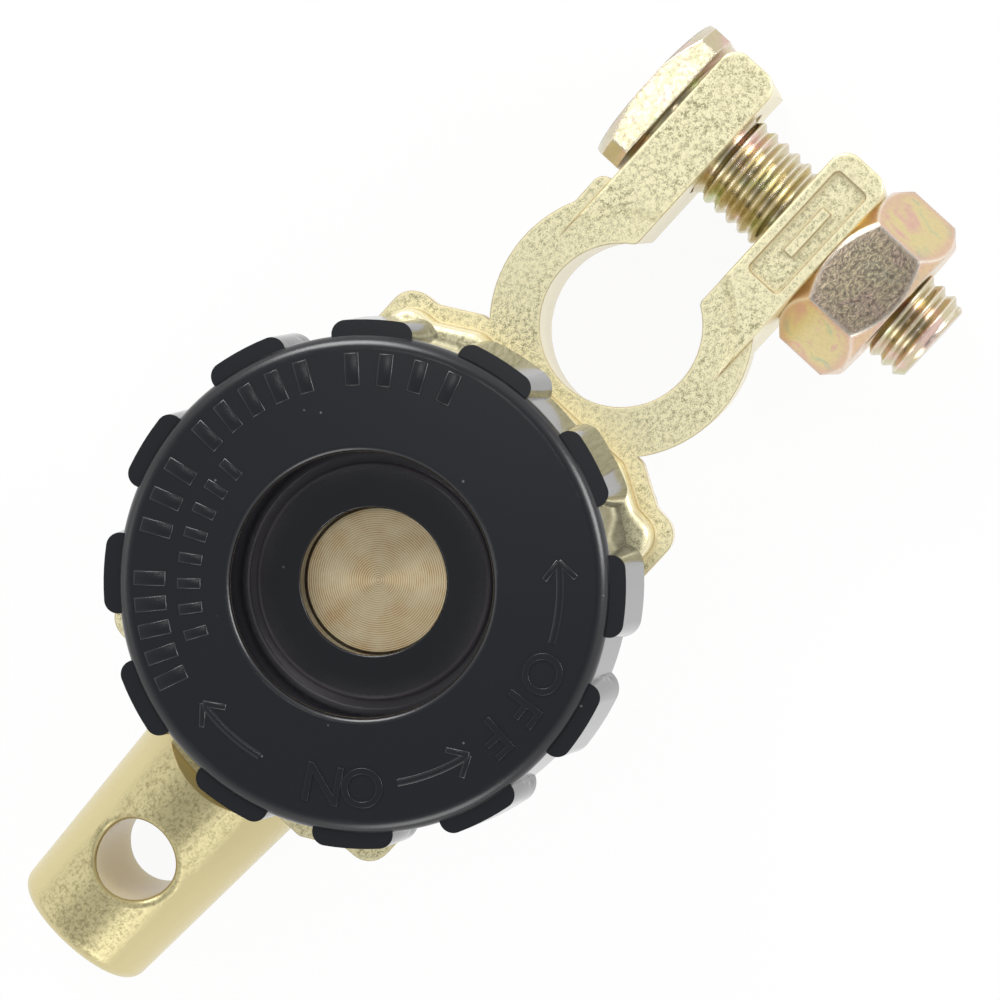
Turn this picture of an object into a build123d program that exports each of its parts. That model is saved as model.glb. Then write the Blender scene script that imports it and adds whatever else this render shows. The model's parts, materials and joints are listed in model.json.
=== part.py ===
"""Battery terminal disconnect switch with a turn knob, a post clamp and a cable post.

Frame: the origin is on the axis of the post socket, level with the underside. +Z points up the socket
towards the knob, +X runs along the body from the knob to the clamp ears. Lengths are in millimetres.
"""

import math
import os

from build123d import *

# Post socket and clamp ears
socket_top_r = 8.0          # radius of the tapered socket where it meets the top of the ring
socket_taper = 9.0          # length per unit of diameter, as on every round battery post
ring_height = 18.0
ring_wall = 5.0
ring_draft = 0.8            # the ring's outer radius shrinks this much from top to foot
slot_width = 8.4            # between the ears at the top
slot_draft = 0.8            # each ear is thinner by this much at the foot, on the slot side
slot_corner_r = 0.7         # where the slot meets the socket
ear_thick = 6.2
ear_reach = 27.6            # socket axis to the end of the ears
ear_rise = 0.4              # the ears stand this much above the ring
ear_step_r = 10.6           # the ramp up to the ears starts on a circle round the socket
ear_step_run = 0.9          # length of the ramp
ear_corner_r = 1.9
ear_edge_r = 0.3
panel_depth = 0.45          # shallow panel with a minus sign in the top of the -Y ear
panel_start = 12.4
panel_end = 25.4
panel_margin = 1.1
panel_corner_r = 0.6
minus_length = 5.6
minus_width = 1.1
minus_height = 0.35
stop_reach = 9.9            # end of the shoulder that keeps the bolt head from turning
stop_proud = 1.2            # how far the shoulder stands out of the ear
stop_corner_r = 1.3

# Clamp bolt and nut
bolt_distance = 19.25       # socket axis to bolt axis
bolt_height = 10.0
bolt_thread_d = 10.0
bolt_hole_clearance = 0.25  # radial
nut_flats = 17.0
nut_height = 8.3
nut_thread_clearance = 0.05  # radial
nut_chamfer_r = 8.4         # radius of the turned face at each end of the nut
nut_chamfer_angle = 45.0
head_flats = 16.5
head_height = 3.2
head_corner_cut = 1.8
head_chamfer_r = 8.4         # the turned face, which takes off the corners only
head_collar_r = 6.8
head_collar_height = 0.6
bolt_end_past_nut = 4.7
bolt_end_chamfer = 1.0

# Upper plate of the clamp casting
plate_reach = 4.6           # how far the plate's end lies inside the outside of the ring
plate_gap = 1.0             # thickness of the insulator between the two castings
ledge_thick = 2.2           # flush with the top of the ring
pad_height = 4.0            # the raised pad above the ledge
ledge_length = 50.6
ledge_width = 36.7
ledge_shoulder = 7.6        # each end edge stops this far from the long sides
ledge_waist_in = 2.3        # from there the outline draws in to a waist, this far from the end
ledge_waist_side = 3.6      # and this far from the long side
ledge_corner_in = 2.6       # the small corner lobes end this far from the end
ledge_corner_r = 2.4
pad_inset = 1.3             # the raised pad stands in from the ledge on every side
pad_edge_r = 0.9
seat_r = 13.5
seat_depth = 1.5
spindle_hole_r = 8.15

# Lower plate, hub and cable post of the other casting
lower_plate_thick = 6.7
lower_plate_inset = 1.8     # the lower plate stands in from the ledge on every side
lower_plate_corner_r = 6.0
lower_edge_r = 0.8
casting_gap = 1.2           # air gap between the lower plate and the ring
hub_r = 13.0
hub_bore_side_gap = 1.1
clip_roof_gap = 0.25        # above the clip when the knob is turned right up
rib_thick = 4.0
rib_drop = 5.0
post_end_r = 7.7            # the post widens towards the plate with the taper of a battery post
post_flat_height = 7.2      # axis of the post to the flat where its crest is cut level with the plate
post_length = 25.6          # edge of the ledge to the tip of the post
post_root_in = 1.0          # the taper runs on this far into the lower plate
post_end_edge_r = 1.6
post_flat_r = 28.6          # that flat ends on a circle round the knob
post_flat_run = 1.1         # the wall at its end slopes out over this length
cable_hole_r = 4.15
cable_hole_from_end = 11.5
cable_hole_lip_r = 0.6

# Insulation
insulator_overhang = 0.8    # past the lower plate on every side
sleeve_clearance = 0.05
sleeve_wall = 1.7
sleeve_below_flange = 0.3

# Contact screw, contact washer and clip
spindle_thread_d = 12.0
spindle_pitch = 1.75
spindle_thread_clearance = 0.05
turns_to_open = 2.0
spindle_end = 2.0           # height of its lower end above the underside
spindle_end_chamfer = 1.0
contact_washer_thick = 1.0
contact_washer_side_gap = 0.5
contact_washer_bore_gap = 0.1
flange_r = 11.2
flange_thick = 1.5
neck_r = 6.6
neck_height = 0.8
cap_r = 7.1
cap_height = 1.3
cap_chamfer = 0.15
moulded_gap = 0.03
groove_r = 4.8
groove_height = 1.1
groove_above_end = 1.2
clip_thick = 1.0
clip_outer_r = 8.4
clip_gap_width = 7.0
clip_seat_gap = 0.05

# Knob
knob_height = 12.2          # rim to face
knob_rim_above_plate = 0.8
knob_face_r = 23.5
knob_draft = 0.7            # the side grows this much in radius from face to rim
knob_edge_r = 1.4
lug_count = 12
lug_angle = 18.8
lug_proud = 1.5
lug_set_back = 0.9          # the lugs stop this far below the face
lug_corner_r = 1.35
lug_first_angle = 10.4
recess_r = 12.55
recess_draft = 0.3
recess_depth = 8.2
recess_edge_r = 0.6
boss_r = 11.5
boss_below_face = 6.9
boss_edge_r = 0.6
boss_hole_edge_r = 0.2
knob_wall = 2.2
knob_top_wall = 2.6
knob_hub_wall = 1.9
knob_hub_above_plate = 0.4
knob_rib_count = 6
knob_rib_thick = 1.6
knob_rib_lift = 1.2

# Screws that hold the two plates together, each in an insulating bush
screw_inset_x = 6.1         # screw axis to the edge of the lower plate, lengthwise
screw_inset_y = 4.25        # and across
screw_thread_d = 4.0
screw_thread_gap = 0.03
screw_head_r = 3.5
screw_head_height = 2.6
screw_slot_width = 1.2
screw_slot_depth = 1.1
screw_bite = 3.8            # length of thread in the upper plate
screw_hole_spare = 0.4
bush_shank_r = 3.0
bush_flange_r = 4.2
bush_flange_thick = 1.0
bush_gap = 0.05
bush_side_gap = 0.5         # between a bush flange and the post where it goes on under the plate
flat_washer_r = 4.0
flat_washer_thick = 0.8
insulator_screw_gap = 0.3

# Worked out from the sizes above
ring_r = socket_top_r + ring_wall
socket_foot_r = socket_top_r + ring_height / (2 * socket_taper)
ear_inner = slot_width / 2
ear_outer = ear_inner + ear_thick
ear_top = ring_height + ear_rise
bolt_r = bolt_thread_d / 2
knob_x = plate_reach - ring_r - ledge_length / 2
ring_foot_r = ring_r - ring_draft
upper_plate_bottom = ring_height - ledge_thick
upper_plate_top = ring_height + pad_height
lower_plate_top = upper_plate_bottom - plate_gap
lower_plate_bottom = lower_plate_top - lower_plate_thick
lower_plate_length = ledge_length - 2 * lower_plate_inset
lower_plate_width = ledge_width - 2 * lower_plate_inset
seat_height = upper_plate_top - seat_depth
ledge_end_x = knob_x - ledge_length / 2
post_tip_x = ledge_end_x - post_length
post_axis_height = lower_plate_top - post_flat_height
post_root_x = knob_x - lower_plate_length / 2 + post_root_in
post_root_r = post_end_r + (post_root_x - post_tip_x) / (2 * socket_taper)
spindle_r = spindle_thread_d / 2
sleeve_r = spindle_hole_r - sleeve_clearance
flange_bottom = seat_height + contact_washer_thick
flange_top = flange_bottom + flange_thick
cap_top = flange_top + neck_height + cap_height
knob_rim_height = upper_plate_top + knob_rim_above_plate
knob_hub_height = upper_plate_top + knob_hub_above_plate
knob_face_height = knob_rim_height + knob_height
boss_top = knob_face_height - boss_below_face
open_lift = turns_to_open * spindle_pitch
groove_bottom = spindle_end + groove_above_end
clip_bottom = groove_bottom + (groove_height - clip_thick) / 2
clip_top = clip_bottom + clip_thick
hub_bore_roof = clip_top + open_lift + clip_roof_gap
screw_r = screw_thread_d / 2
screw_x = lower_plate_length / 2 - screw_inset_x
screw_y = lower_plate_width / 2 - screw_inset_y
screw_spots = [(knob_x + sx * screw_x, sy * screw_y) for sx in (-1, 1) for sy in (-1, 1)]
post_inner_r = screw_y - bush_flange_r - bush_side_gap

OPEN_CUT = 1.0              # how far a cutting tool runs past the face it opens


def rounded_plate(length, width, corner_r, bottom, thick, centre_x=knob_x):
    """A flat plate with round corners, centred on the knob axis."""
    outline = RectangleRounded(length, width, corner_r)
    return Pos(centre_x, 0, bottom) * extrude(outline, thick)


def lobed_plate(inset, bottom, thick):
    """The upper plate's outline, or a smaller one inside it: an oblong with a small lobe at each corner."""
    end = ledge_length / 2 - inset
    side = ledge_width / 2 - inset
    corner_x = end - ledge_corner_in
    quarter = [
        (end, side - ledge_shoulder),
        (end - ledge_waist_in, side - ledge_waist_side),
        (corner_x, side),
    ]
    points = quarter + [(-x, y) for x, y in reversed(quarter)]
    points += [(-x, -y) for x, y in points]
    outline = make_face(Polyline(points, close=True))
    lobes = [v for v in outline.vertices() if abs(abs(v.Y) - side) < 0.01]
    outline = fillet(lobes, ledge_corner_r)
    bends = [v for v in outline.vertices() if abs(abs(v.Y) - side + ledge_waist_side) < 0.01
             or abs(abs(v.Y) - side + ledge_shoulder) < 0.01]
    outline = fillet(bends, ledge_corner_r / 2)
    return Pos(knob_x, 0, bottom) * extrude(outline, thick)


def drum(radius, bottom, top, x=0.0, y=0.0):
    """An upright cylinder from one height to another."""
    return Pos(x, y, bottom) * Cylinder(radius, top - bottom, align=(Align.CENTER, Align.CENTER, Align.MIN))


def cone(bottom_r, top_r, bottom, top, x=0.0, y=0.0):
    """An upright cone from one height to another."""
    tool = Cone(bottom_r, top_r, top - bottom, align=(Align.CENTER, Align.CENTER, Align.MIN))
    return Pos(x, y, bottom) * tool


def block(x0, x1, y0, y1, z0, z1):
    """A box between opposite corners."""
    return Pos((x0 + x1) / 2, (y0 + y1) / 2, (z0 + z1) / 2) * Box(x1 - x0, y1 - y0, z1 - z0)


def across(shape, start_y):
    """Turns a shape built upward from its own origin to lie along -Y on the bolt axis."""
    return Pos(bolt_distance, start_y, bolt_height) * Rot(90, 0, 0) * shape


def socket_tool():
    """The tapered space of the battery post, wide at the foot, with a little run-out at both ends."""
    slope = 1 / (2 * socket_taper)
    taper = cone(socket_foot_r + slope * OPEN_CUT, socket_top_r, -OPEN_CUT, ring_height)
    return taper + drum(socket_top_r, ring_height, upper_plate_top + OPEN_CUT)


def clamp_ears():
    """Two ears with round ends, raised beyond a circle round the socket, and the shoulder by the head."""
    ears = Part()
    for side in (-1, 1):
        middle = side * (ear_inner + ear_thick / 2)
        ear = block(0, ear_reach, middle - ear_thick / 2, middle + ear_thick / 2, 0, ear_top)
        ends = ear.edges().filter_by(Axis.Z).sort_by(Axis.X)[-2:]
        ear = fillet(ends, ear_corner_r)
        rim = ear.edges().group_by(Axis.Z)[-1]
        ears += fillet(rim, ear_edge_r)
    ramp = (ear_rise + OPEN_CUT) * ear_step_run / ear_rise
    ears -= cone(ear_step_r, ear_step_r + ramp, ring_height, ear_top + OPEN_CUT)
    stop = block(0, stop_reach, ear_inner, ear_outer + stop_proud, 0, ring_height)
    corner = stop.edges().filter_by(Axis.Z).sort_by(Axis.X)[-2:].sort_by(Axis.Y)[-1]
    return ears + fillet(corner, stop_corner_r)


def slot_tool():
    """The open space between the ears, wider at the foot, with round corners where it meets the socket."""
    reach = ear_reach + OPEN_CUT
    draft = math.degrees(math.atan(slot_draft / ear_top))
    wide = 2 * (ear_inner + slot_draft)
    outline = Pos(reach / 2, 0, 0) * Rectangle(reach, wide)
    return extrude(outline, ear_top + OPEN_CUT, taper=draft)


def ear_panel():
    """The shallow panel in the top of the -Y ear, with a minus sign standing in it."""
    width = ear_thick - 2 * panel_margin
    outline = RectangleRounded(panel_end - panel_start, width, panel_corner_r)
    middle_x = (panel_start + panel_end) / 2
    middle_y = -(ear_inner + ear_thick / 2)
    panel = Pos(middle_x, middle_y, ear_top - panel_depth) * extrude(outline, panel_depth + OPEN_CUT)
    sign = block(middle_x - minus_length / 2, middle_x + minus_length / 2, middle_y - minus_width / 2,
                 middle_y + minus_width / 2, ear_top - panel_depth, ear_top - panel_depth + minus_height)
    return panel - sign


def clamp_casting():
    """Ring, ears and upper plate, cast in one piece."""
    ring = cone(ring_foot_r, ring_r, 0, ring_height)
    ledge = lobed_plate(0, upper_plate_bottom, ledge_thick)
    pad = lobed_plate(pad_inset, ring_height, pad_height)
    pad = fillet(pad.edges().group_by(Axis.Z)[-1], pad_edge_r)
    body = ring + clamp_ears() + ledge + pad
    body -= slot_tool() + socket_tool()
    slot_corners = [e for e in body.edges()
                    if e.bounding_box().size.Z > 0.9 * ring_height and 0 < e.center().X < ring_r
                    and abs(abs(e.center().Y) - ear_inner - slot_draft / 2) < slot_draft]
    body = fillet(slot_corners, slot_corner_r)
    body -= ear_panel()
    body -= across(Cylinder(bolt_r + bolt_hole_clearance, 2 * ear_outer + 4 * OPEN_CUT), 0)
    body -= drum(spindle_hole_r, upper_plate_bottom - OPEN_CUT, upper_plate_top + OPEN_CUT, knob_x)
    body -= drum(seat_r, seat_height, upper_plate_top + OPEN_CUT, knob_x)
    hole_top = upper_plate_bottom + screw_bite + screw_hole_spare
    for x, y in screw_spots:
        body -= drum(screw_r + screw_thread_gap, upper_plate_bottom - OPEN_CUT, hole_top, x, y)
    return body


def cable_post():
    """The round tapered post, lying along X, soft at its tip, with a thinner core inside the plate."""
    length = post_root_x - post_tip_x
    inner = knob_x - post_root_x
    taper = Cone(post_end_r, post_root_r, length, align=(Align.CENTER, Align.CENTER, Align.MIN))
    tip = taper.edges().group_by(Axis.Z)[0]
    taper = fillet(tip, post_end_edge_r)
    core = Pos(0, 0, length) * Cylinder(post_inner_r, inner, align=(Align.CENTER, Align.CENTER, Align.MIN))
    post = Pos(post_tip_x, 0, post_axis_height) * Rot(0, 90, 0) * (taper + core)
    rise = post_axis_height + post_root_r - lower_plate_top
    run = post_flat_run * (rise + OPEN_CUT) / rise
    crest = cone(post_flat_r, post_flat_r + run, lower_plate_top, lower_plate_top + rise + OPEN_CUT, knob_x)
    foot = block(post_tip_x - OPEN_CUT, knob_x, -post_root_r, post_root_r,
                 post_axis_height - 2 * post_root_r, 0)
    return post - crest - foot


def post_casting():
    """Lower plate, threaded hub and cable post, cast in one piece."""
    plate = rounded_plate(lower_plate_length, lower_plate_width, lower_plate_corner_r,
                          lower_plate_bottom, lower_plate_thick)
    plate = fillet(plate.edges().group_by(Axis.Z)[0], lower_edge_r)
    hub = drum(hub_r, 0, lower_plate_top, knob_x)
    rib = block(knob_x - rib_thick / 2, knob_x + rib_thick / 2, -lower_plate_width / 2 + lower_edge_r,
                lower_plate_width / 2 - lower_edge_r, lower_plate_bottom - rib_drop, lower_plate_top)
    spine = block(knob_x, knob_x + lower_plate_length / 2, -rib_thick / 2, rib_thick / 2,
                  lower_plate_bottom - rib_drop, lower_plate_top)
    body = plate + hub + rib + spine + cable_post()
    body -= drum(ring_r + casting_gap, -OPEN_CUT, lower_plate_top + OPEN_CUT)
    cable_x = post_tip_x + cable_hole_from_end
    post_top = post_axis_height + post_root_r
    body -= drum(cable_hole_r, -OPEN_CUT, post_top + OPEN_CUT, cable_x)
    rims = [e for e in body.edges()
            if (e @ 0.3).Z > post_axis_height and abs((e @ 0.3).Z - (e @ 0.6).Z) < cable_hole_r
            and all(abs(math.hypot((e @ t).X - cable_x, (e @ t).Y) - cable_hole_r) < 0.01
                    for t in (0.3, 0.6))]
    body = fillet(rims, cable_hole_lip_r)
    body -= drum(spindle_r + spindle_thread_clearance, -OPEN_CUT, lower_plate_top + OPEN_CUT, knob_x)
    body -= drum(clip_outer_r + hub_bore_side_gap, -OPEN_CUT, hub_bore_roof, knob_x)
    for x, y in screw_spots:
        body -= drum(bush_shank_r + bush_gap, lower_plate_bottom - OPEN_CUT, lower_plate_top + OPEN_CUT, x, y)
    return body


def insulator_plate():
    """The thin sheet that keeps the two castings apart."""
    grow = 2 * insulator_overhang
    body = rounded_plate(lower_plate_length + grow, lower_plate_width + grow,
                         lower_plate_corner_r + insulator_overhang, lower_plate_top, plate_gap)
    low = lower_plate_top - OPEN_CUT
    high = upper_plate_bottom + OPEN_CUT
    body -= drum(ring_r + casting_gap / 4, low, high)
    body -= drum(spindle_hole_r, low, high, knob_x)
    for x, y in screw_spots:
        body -= drum(screw_r + insulator_screw_gap, low, high, x, y)
    return body


def centre_sleeve():
    """The sleeve that keeps the contact screw off the upper plate and off the contact washer."""
    top = flange_bottom - sleeve_below_flange
    body = drum(sleeve_r, lower_plate_top, top, knob_x)
    return body - drum(sleeve_r - sleeve_wall, 0, top + OPEN_CUT, knob_x)


def contact_washer():
    """The flat brass washer pressed on the upper plate when the switch is on."""
    body = drum(seat_r - contact_washer_side_gap, seat_height, flange_bottom, knob_x)
    return body - drum(sleeve_r + contact_washer_bore_gap, 0, flange_bottom + OPEN_CUT, knob_x)


def contact_screw():
    """Turned brass screw: cap, neck and flange are moulded into the knob, the thread runs in the hub."""
    profile = [
        (0, spindle_end),
        (spindle_r - spindle_end_chamfer, spindle_end),
        (spindle_r, spindle_end + spindle_end_chamfer),
        (spindle_r, groove_bottom),
        (groove_r, groove_bottom),
        (groove_r, groove_bottom + groove_height),
        (spindle_r, groove_bottom + groove_height),
        (spindle_r, flange_bottom),
        (flange_r, flange_bottom),
        (flange_r, flange_top),
        (neck_r, flange_top),
        (neck_r, flange_top + neck_height),
        (cap_r, flange_top + neck_height),
        (cap_r, cap_top - cap_chamfer),
        (cap_r - cap_chamfer, cap_top),
        (0, cap_top),
    ]
    section = make_face(Polyline([(r, 0, z) for r, z in profile], close=True))
    return Pos(knob_x, 0, 0) * revolve(section, Axis.Z)


def retaining_clip():
    """Open ring in the groove near the end of the contact screw. It stops the knob coming off."""
    body = drum(clip_outer_r, clip_bottom, clip_top, knob_x)
    body -= drum(groove_r + clip_seat_gap, clip_bottom - OPEN_CUT, clip_top + OPEN_CUT, knob_x)
    mouth = block(knob_x, knob_x + clip_outer_r + OPEN_CUT, -clip_gap_width / 2, clip_gap_width / 2,
                  clip_bottom - OPEN_CUT, clip_top + OPEN_CUT)
    return body - mouth


def knob_lugs():
    """Grip lugs round the side. Each is a wedge of a ring with soft corners, set back from the face."""
    top = knob_face_height - lug_set_back
    half = math.radians(lug_angle / 2)
    outer = knob_face_r + lug_proud
    inner = knob_face_r - knob_wall
    lugs = []
    for i in range(lug_count):
        turn = lug_first_angle + i * 360 / lug_count
        a0, a1 = -half, half
        outline = make_face([
            Line((inner * math.cos(a0), inner * math.sin(a0)), (outer * math.cos(a0), outer * math.sin(a0))),
            ThreePointArc((outer * math.cos(a0), outer * math.sin(a0)), (outer, 0),
                          (outer * math.cos(a1), outer * math.sin(a1))),
            Line((outer * math.cos(a1), outer * math.sin(a1)), (inner * math.cos(a1), inner * math.sin(a1))),
            Line((inner * math.cos(a1), inner * math.sin(a1)), (inner * math.cos(a0), inner * math.sin(a0))),
        ])
        corners = outline.vertices().sort_by(Axis.X)[-2:]
        outline = fillet(corners, lug_corner_r)
        draft = math.degrees(math.atan(knob_draft / (knob_face_height - knob_rim_height)))
        lug = extrude(Pos(0, 0, top) * Rot(180, 0, 0) * outline, top - knob_rim_height, taper=-draft)
        lugs.append(Pos(knob_x, 0, 0) * Rot(0, 0, turn) * lug)
    return lugs


def same_circles(body, wanted):
    """The round edges of a body that have the radius and height of the wanted ones."""
    return body.edges().filter_by(GeomType.CIRCLE).filter_by(
        lambda e: any(abs(e.radius - w.radius) + abs(e.center().Z - w.center().Z) < 0.01 for w in wanted))


def knob_shell():
    """The turned form of the knob: drafted side, round edge, recess with a raised boss, hollow underside."""
    recess_foot_r = recess_r - recess_draft
    recess_floor = knob_face_height - recess_depth
    hub_outer_r = recess_r + knob_hub_wall
    cavity_top = knob_face_height - knob_top_wall
    cavity_r = knob_face_r - knob_wall
    profile = [
        (neck_r + moulded_gap, flange_top + moulded_gap),
        (flange_r + moulded_gap, flange_top + moulded_gap),
        (flange_r + moulded_gap, knob_hub_height),
        (hub_outer_r, knob_hub_height),
        (hub_outer_r, cavity_top),
        (cavity_r, cavity_top),
        (cavity_r + knob_draft, knob_rim_height),
        (knob_face_r + knob_draft, knob_rim_height),
        (knob_face_r, knob_face_height),
        (recess_r, knob_face_height),
        (recess_foot_r, recess_floor),
        (boss_r, recess_floor),
        (boss_r, boss_top),
        (cap_r + moulded_gap, boss_top),
        (cap_r + moulded_gap, flange_top + neck_height - moulded_gap),
        (neck_r + moulded_gap, flange_top + neck_height - moulded_gap),
    ]
    section = make_face(Polyline([(r, 0, z) for r, z in profile], close=True))
    body = revolve(section, Axis.Z)
    rims = body.edges().filter_by(GeomType.CIRCLE)
    outer_rim = [e for e in rims if abs(e.radius - knob_face_r) < 0.01]
    recess_rim = [e for e in rims if abs(e.radius - recess_r) < 0.01 and e.center().Z > boss_top]
    boss_rims = [e for e in rims if abs(e.center().Z - boss_top) < 0.01]
    outer_boss = [e for e in boss_rims if e.radius > (boss_r + cap_r) / 2]
    inner_boss = [e for e in boss_rims if e.radius < (boss_r + cap_r) / 2]
    body = fillet(outer_rim, knob_edge_r)
    body = fillet(same_circles(body, recess_rim), recess_edge_r)
    body = fillet(same_circles(body, outer_boss), boss_edge_r)
    body = fillet(same_circles(body, inner_boss), boss_hole_edge_r)
    return Pos(knob_x, 0, 0) * body


def knob():
    """The moulded turn knob."""
    body = knob_shell()
    for lug in knob_lugs():
        body += lug
    hub_outer_r = recess_r + knob_hub_wall
    cavity_top = knob_face_height - knob_top_wall
    for i in range(knob_rib_count):
        rib = block(hub_outer_r - knob_rib_thick / 4, knob_face_r - knob_wall / 2,
                    -knob_rib_thick / 2, knob_rib_thick / 2, knob_rim_height + knob_rib_lift,
                    cavity_top + knob_top_wall / 2)
        body += Pos(knob_x, 0, 0) * Rot(0, 0, lug_first_angle + i * 360 / knob_rib_count) * rib
    return body


def clamp_bolt():
    """Bolt with a thin square head, its corners cut, on a round collar. The head sits on the +Y ear."""
    thread_length = 2 * ear_outer + nut_height + bolt_end_past_nut
    lengthwise = (Align.CENTER, Align.CENTER, Align.MIN)
    shank = Cylinder(bolt_r, thread_length, align=lengthwise)
    shank = chamfer(shank.edges().group_by(Axis.Z)[-1], bolt_end_chamfer)
    collar = Pos(0, 0, -head_collar_height) * Cylinder(head_collar_r, head_collar_height, align=lengthwise)
    head_total = head_collar_height + head_height
    outline = chamfer(Rectangle(head_flats, head_flats).vertices(), head_corner_cut)
    head = Pos(0, 0, -head_total) * extrude(outline, head_height)
    corner_r = head_flats / math.sqrt(2)
    slope = math.tan(math.radians(30))
    turned = Pos(0, 0, -head_total) * Cone(head_chamfer_r, head_chamfer_r + head_height / slope,
                                           head_height, align=lengthwise)
    head = head & turned if head_chamfer_r < corner_r else head
    return across(shank + collar + head, ear_outer)


def clamp_nut():
    """Hexagon nut on the -Y ear, a flat facing up, turned at both ends."""
    lengthwise = (Align.CENTER, Align.CENTER, Align.MIN)
    outline = RegularPolygon(nut_flats / 2, 6, major_radius=False)
    body = extrude(outline, nut_height)
    grow = nut_height / math.tan(math.radians(nut_chamfer_angle))
    near = Cone(nut_chamfer_r, nut_chamfer_r + grow, nut_height, align=lengthwise)
    far = Cone(nut_chamfer_r + grow, nut_chamfer_r, nut_height, align=lengthwise)
    body = body & near & far
    bore_r = bolt_r + nut_thread_clearance
    body -= Cylinder(bore_r, nut_height, align=lengthwise)
    mouths = body.edges().filter_by(GeomType.CIRCLE).filter_by(lambda e: abs(e.radius - bore_r) < 0.01)
    body = chamfer(mouths, bolt_end_chamfer / 2)
    return across(body, -ear_outer)


def screw_levels():
    """Heights of the bush flange, washer and head under the lower plate."""
    bush_low = lower_plate_bottom - bush_flange_thick
    washer_low = bush_low - flat_washer_thick
    return bush_low, washer_low, washer_low - screw_head_height


def plate_screw(x, y):
    """Slotted screw driven up through the lower plate into the upper one."""
    _, washer_low, head_low = screw_levels()
    shank = drum(screw_r, washer_low, upper_plate_bottom + screw_bite, x, y)
    head = drum(screw_head_r, head_low, washer_low, x, y)
    head = fillet(head.edges().group_by(Axis.Z)[0], screw_head_height / 4)
    slot = block(x - screw_head_r, x + screw_head_r, y - screw_slot_width / 2, y + screw_slot_width / 2,
                 head_low - OPEN_CUT, head_low + screw_slot_depth)
    return shank + head - slot


def screw_bush(x, y):
    """Flanged insulating bush that keeps one screw off the lower plate."""
    bush_low, _, _ = screw_levels()
    body = drum(bush_flange_r, bush_low, lower_plate_bottom, x, y)
    body += drum(bush_shank_r, lower_plate_bottom, lower_plate_top, x, y)
    return body - drum(screw_r + bush_gap, bush_low - OPEN_CUT, lower_plate_top + OPEN_CUT, x, y)


def screw_washer(x, y):
    """Plain steel washer under one screw head."""
    bush_low, washer_low, _ = screw_levels()
    body = drum(flat_washer_r, washer_low, bush_low, x, y)
    return body - drum(screw_r + bush_gap, washer_low - OPEN_CUT, bush_low + OPEN_CUT, x, y)


def main():
    """Writes one file for each piece."""
    os.makedirs("parts", exist_ok=True)
    pieces = {
        "clamp_casting": clamp_casting(),
        "post_casting": post_casting(),
        "insulator_plate": insulator_plate(),
        "centre_sleeve": centre_sleeve(),
        "contact_washer": contact_washer(),
        "contact_screw": contact_screw(),
        "retaining_clip": retaining_clip(),
        "knob": knob(),
        "clamp_bolt": clamp_bolt(),
        "clamp_nut": clamp_nut(),
    }
    for number, (x, y) in enumerate(screw_spots, 1):
        pieces[f"plate_screw_{number}"] = plate_screw(x, y)
        pieces[f"screw_bush_{number}"] = screw_bush(x, y)
        pieces[f"screw_washer_{number}"] = screw_washer(x, y)
    for name, piece in pieces.items():
        export_step(piece, f"parts/{name}.step")


main()
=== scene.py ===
"""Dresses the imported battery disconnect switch: finishes, bolt thread, knob legends, studio and camera."""

import json
import logging
import math
from dataclasses import dataclass, field
from enum import Enum
from typing import Any

import bmesh
import bpy
from mathutils import Matrix, Vector

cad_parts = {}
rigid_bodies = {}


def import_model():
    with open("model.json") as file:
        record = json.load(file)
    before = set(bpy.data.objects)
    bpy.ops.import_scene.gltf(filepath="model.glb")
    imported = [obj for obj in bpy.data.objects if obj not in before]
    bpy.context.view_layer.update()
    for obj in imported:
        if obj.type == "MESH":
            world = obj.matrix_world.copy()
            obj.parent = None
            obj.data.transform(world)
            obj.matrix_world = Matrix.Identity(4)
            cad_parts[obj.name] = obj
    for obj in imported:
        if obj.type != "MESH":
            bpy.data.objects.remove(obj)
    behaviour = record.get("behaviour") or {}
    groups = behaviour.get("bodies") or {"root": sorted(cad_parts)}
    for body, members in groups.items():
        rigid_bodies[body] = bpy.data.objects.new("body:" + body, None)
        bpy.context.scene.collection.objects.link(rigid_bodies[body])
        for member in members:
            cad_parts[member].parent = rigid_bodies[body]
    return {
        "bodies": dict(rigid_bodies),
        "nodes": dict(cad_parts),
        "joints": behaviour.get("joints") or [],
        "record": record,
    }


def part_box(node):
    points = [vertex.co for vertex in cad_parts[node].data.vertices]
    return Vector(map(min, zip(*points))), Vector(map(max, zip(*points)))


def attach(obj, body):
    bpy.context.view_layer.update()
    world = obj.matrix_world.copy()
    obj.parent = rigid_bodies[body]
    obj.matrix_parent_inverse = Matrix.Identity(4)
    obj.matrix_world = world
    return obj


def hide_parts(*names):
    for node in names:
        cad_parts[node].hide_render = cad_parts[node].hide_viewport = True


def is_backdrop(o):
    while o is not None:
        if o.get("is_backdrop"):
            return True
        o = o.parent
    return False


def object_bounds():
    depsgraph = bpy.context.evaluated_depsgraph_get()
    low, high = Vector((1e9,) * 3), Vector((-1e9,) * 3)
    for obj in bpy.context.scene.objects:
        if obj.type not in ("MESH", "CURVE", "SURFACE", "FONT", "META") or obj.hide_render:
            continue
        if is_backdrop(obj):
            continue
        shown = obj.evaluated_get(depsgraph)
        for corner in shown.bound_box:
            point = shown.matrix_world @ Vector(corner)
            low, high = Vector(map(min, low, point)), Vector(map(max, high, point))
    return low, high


log = logging.getLogger("disconnect_switch")

MM = 0.001
KNOB_X = -33.7  # axis of the knob, in millimetres
RELIEF_MM = 0.05  # depth of surface grain
Colour = tuple[float, float, float, float]


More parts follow.
